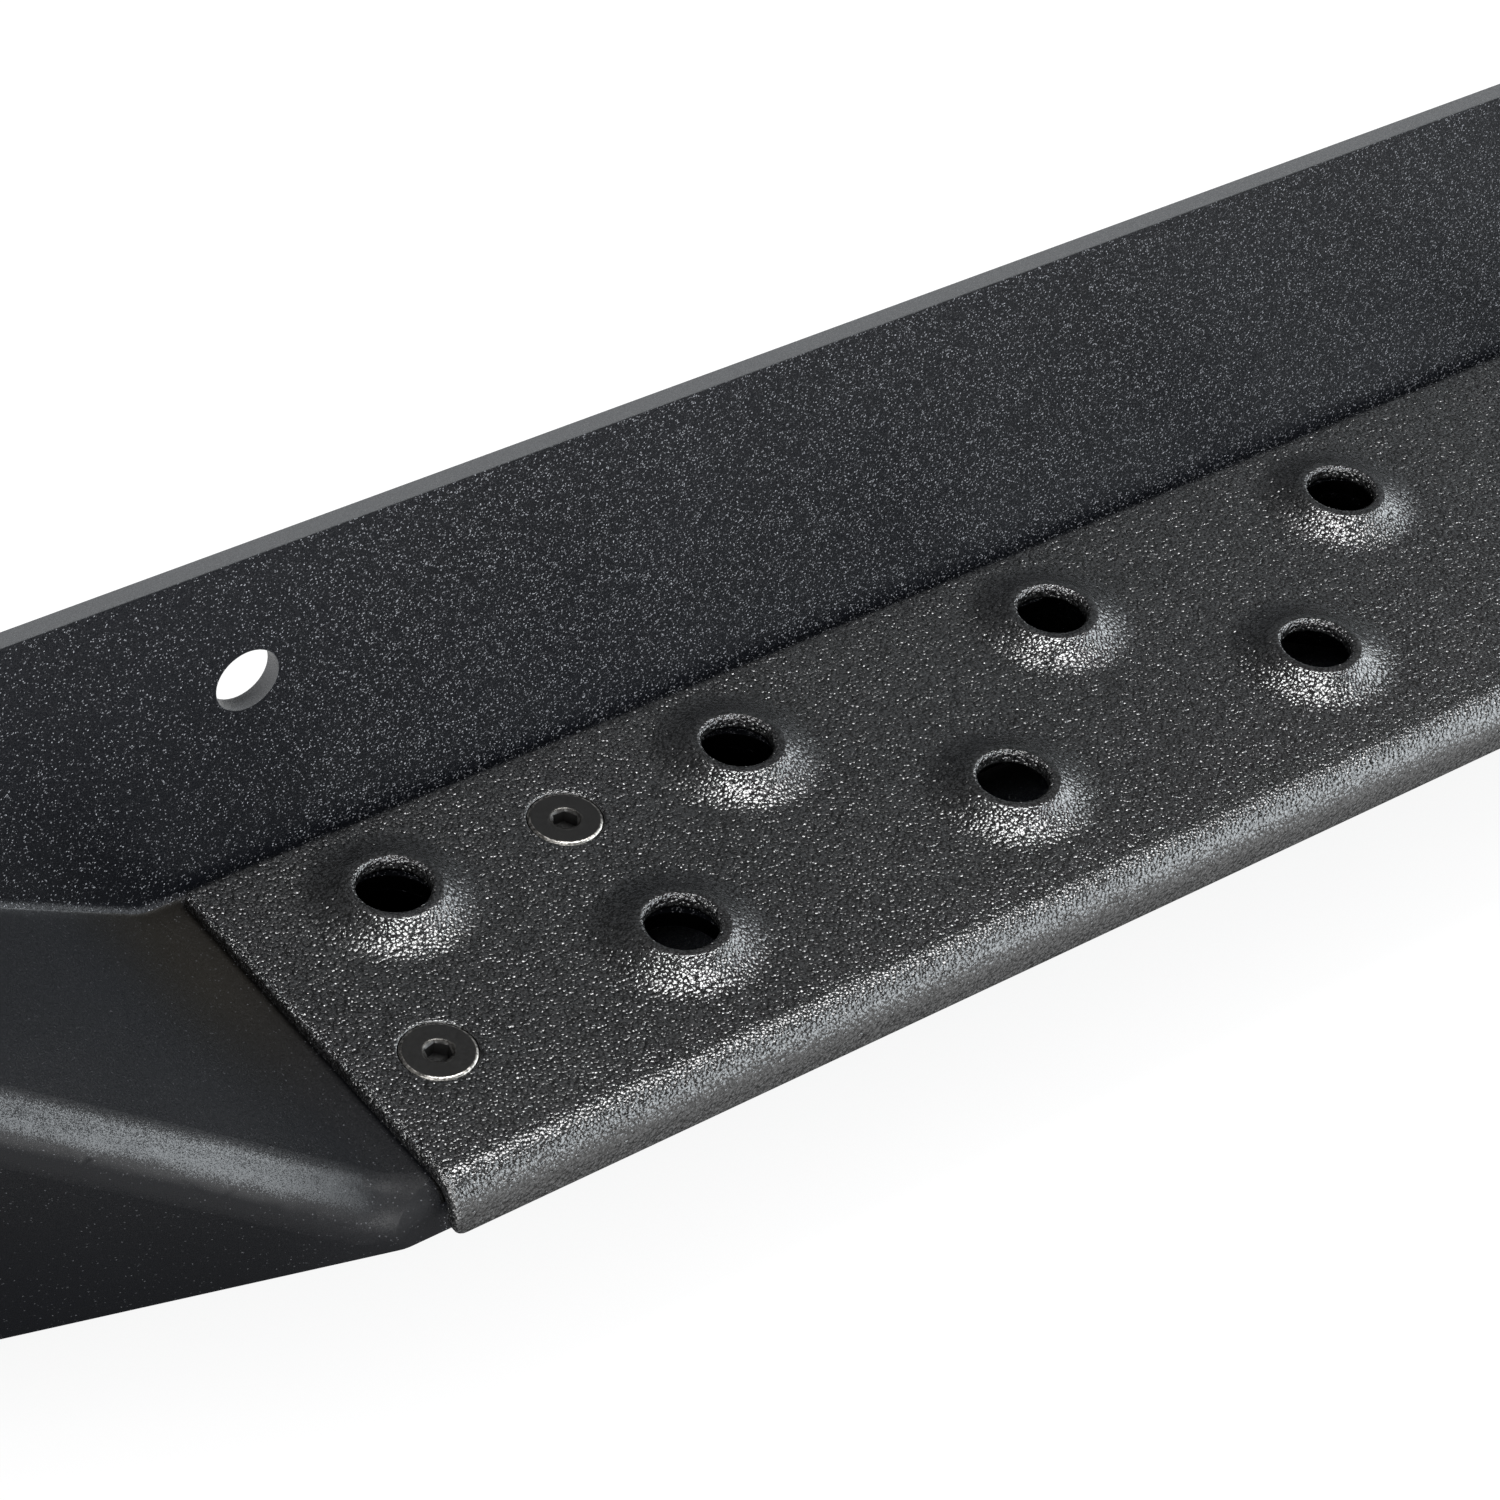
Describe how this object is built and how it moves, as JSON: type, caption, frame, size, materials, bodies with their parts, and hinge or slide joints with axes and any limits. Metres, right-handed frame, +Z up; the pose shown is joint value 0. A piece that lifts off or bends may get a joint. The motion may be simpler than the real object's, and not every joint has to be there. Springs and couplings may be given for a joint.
{
  "type": "running board",
  "caption": "Sill-mounted steel running board: pressed step with an upright bolting flange, ramped ends and a bolt-on tread plate with staggered raised grip holes.",
  "frame": {"origin": "middle of the line of mounting holes, on the back face of the flange", "axes": "+X along the board to the right as seen from outside the vehicle, +Y towards the vehicle, square to the flange, +Z up"},
  "size_m": [1.4596, 0.1055, 0.1549],
  "materials": {
    "body_coat": "fine textured satin black powder coat with metallic flecks",
    "tread_coat": "coarse granular black powder coat with bright glints",
    "screw_black": "black oxide, bright at the worn rim",
    "nut_steel": "plain steel"
  },
  "bodies": {
    "root": {"step_body": "body_coat", "underside_panel": "body_coat", "back_plate": "body_coat", "end_plate_left": "body_coat", "end_plate_right": "body_coat", "tread_plate": "tread_coat", "tread_screws": "screw_black", "inner_rib_1": "body_coat", "inner_rib_2": "body_coat", "inner_rib_3": "body_coat", "inner_rib_4": "body_coat", "inner_rib_5": "body_coat", "inner_rib_6": "body_coat", "inner_rib_7": "body_coat", "inner_rib_8": "body_coat", "weld_nut_1": "nut_steel", "weld_nut_2": "nut_steel", "weld_nut_3": "nut_steel", "weld_nut_4": "nut_steel", "weld_nut_5": "nut_steel"}
  },
  "joints": []
}
